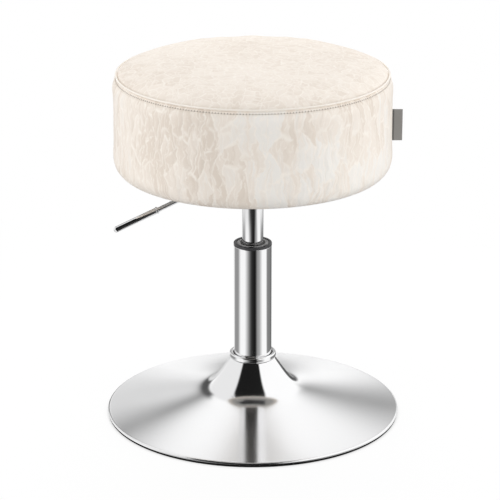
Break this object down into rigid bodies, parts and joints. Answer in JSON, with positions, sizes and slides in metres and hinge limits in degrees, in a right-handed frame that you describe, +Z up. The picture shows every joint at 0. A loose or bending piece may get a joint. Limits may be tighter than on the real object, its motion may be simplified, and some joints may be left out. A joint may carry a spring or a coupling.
{
  "type": "vanity stool",
  "caption": "Round padded stool on a chromed trumpet base, with a gas lift, a swivel and a side lever that sets its height.",
  "frame": {"origin": "on the floor, on the column's axis, under the middle of the base", "axes": "+Z up along the column, -Y the front that the picture shows, +X the side with the tag"},
  "size_m": [0.3912, 0.3912, 0.4879],
  "materials": {
    "satin_chrome": "satin",
    "polished_chrome": "polished",
    "edging_rubber": "matte",
    "collar_plastic": "satin",
    "bush_plastic": "matte",
    "seal_rubber": "matte",
    "bare_steel": "satin",
    "bearing_steel": "polished",
    "spring_steel": "satin",
    "cage_brass": "satin",
    "turned_aluminium": "satin",
    "black_paint": "satin",
    "zinc_plate": "satin",
    "nylon": "matte",
    "plywood": "matte",
    "foam": "matte",
    "cream_cover": "satin",
    "dust_cloth": "matte",
    "grey_ribbon": "matte"
  },
  "bodies": {
    "base": {"base_shell": "satin_chrome", "base_edging": "edging_rubber", "neck_ring": "polished_chrome", "base_hub": "bare_steel", "hub_plate": "bare_steel", "outer_tube": "polished_chrome", "tube_end_plate": "bare_steel", "tube_collar": "collar_plastic", "guide_bush": "bush_plastic", "wiper_ring": "seal_rubber", "lower_race": "bearing_steel"},
    "rod": {"piston_rod": "bearing_steel", "piston_head": "turned_aluminium", "piston_seal": "seal_rubber", "upper_race": "bearing_steel", "support_washer": "bearing_steel", "bump_stop": "seal_rubber", "rod_washer": "zinc_plate", "rod_clip": "spring_steel"},
    "ball_cage": {"bearing_cage": "cage_brass", "bearing_balls": "bearing_steel"},
    "seat": {"gas_cylinder": "polished_chrome", "rod_gland": "turned_aluminium", "gland_seal": "seal_rubber", "pressure_tube": "bare_steel", "valve_body": "cage_brass", "valve_seals": "seal_rubber", "taper_socket": "black_paint", "mechanism_channel": "black_paint", "mounting_plate": "black_paint", "pivot_pin": "zinc_plate", "pivot_clip": "spring_steel", "pivot_spacers": "nylon", "mounting_bolts": "zinc_plate", "bolt_washers": "zinc_plate", "tee_nuts": "zinc_plate", "seat_board": "plywood", "seat_foam": "foam", "top_cover": "cream_cover", "side_band": "cream_cover", "seam_welt": "cream_cover", "dust_cover": "dust_cloth", "staples": "zinc_plate", "side_tag": "grey_ribbon"},
    "lever": {"lever_arm": "zinc_plate", "lever_rod": "polished_chrome", "lever_shoulder": "polished_chrome", "lever_grip": "polished_chrome"},
    "pin": {"valve_pin": "bearing_steel"}
  },
  "joints": [
    {"name": "seat_turn", "type": "hinge", "parent": "base", "child": "rod", "pos_m": [0, 0, 0.02], "axis": [0, 0, 1], "continuous": true},
    {"name": "cage_turn", "type": "hinge", "parent": "base", "child": "ball_cage", "pos_m": [0, 0, 0.02], "axis": [0, 0, 1], "continuous": true},
    {"name": "seat_height", "type": "slide", "parent": "rod", "child": "seat", "axis": [0, 0, 1], "range_m": [-0.045, 0.075]},
    {"name": "lever_lift", "type": "hinge", "parent": "seat", "child": "lever", "pos_m": [-0.02898, -0.00776, 0.3275], "axis": [-0.2588, 0.9659, 0], "range_deg": [0, 6], "stiffness_Nm_per_rad": 1.2, "springref_deg": -5.73},
    {"name": "valve_press", "type": "slide", "parent": "seat", "child": "pin", "axis": [0, 0, -1], "range_m": [0, 0.0033]}
  ],
  "couplings": [
    {"joint": "cage_turn", "follows": "seat_turn", "ratio": 0.5},
    {"joint": "valve_press", "follows": "lever_lift", "m_per_rad": 0.0303}
  ]
}
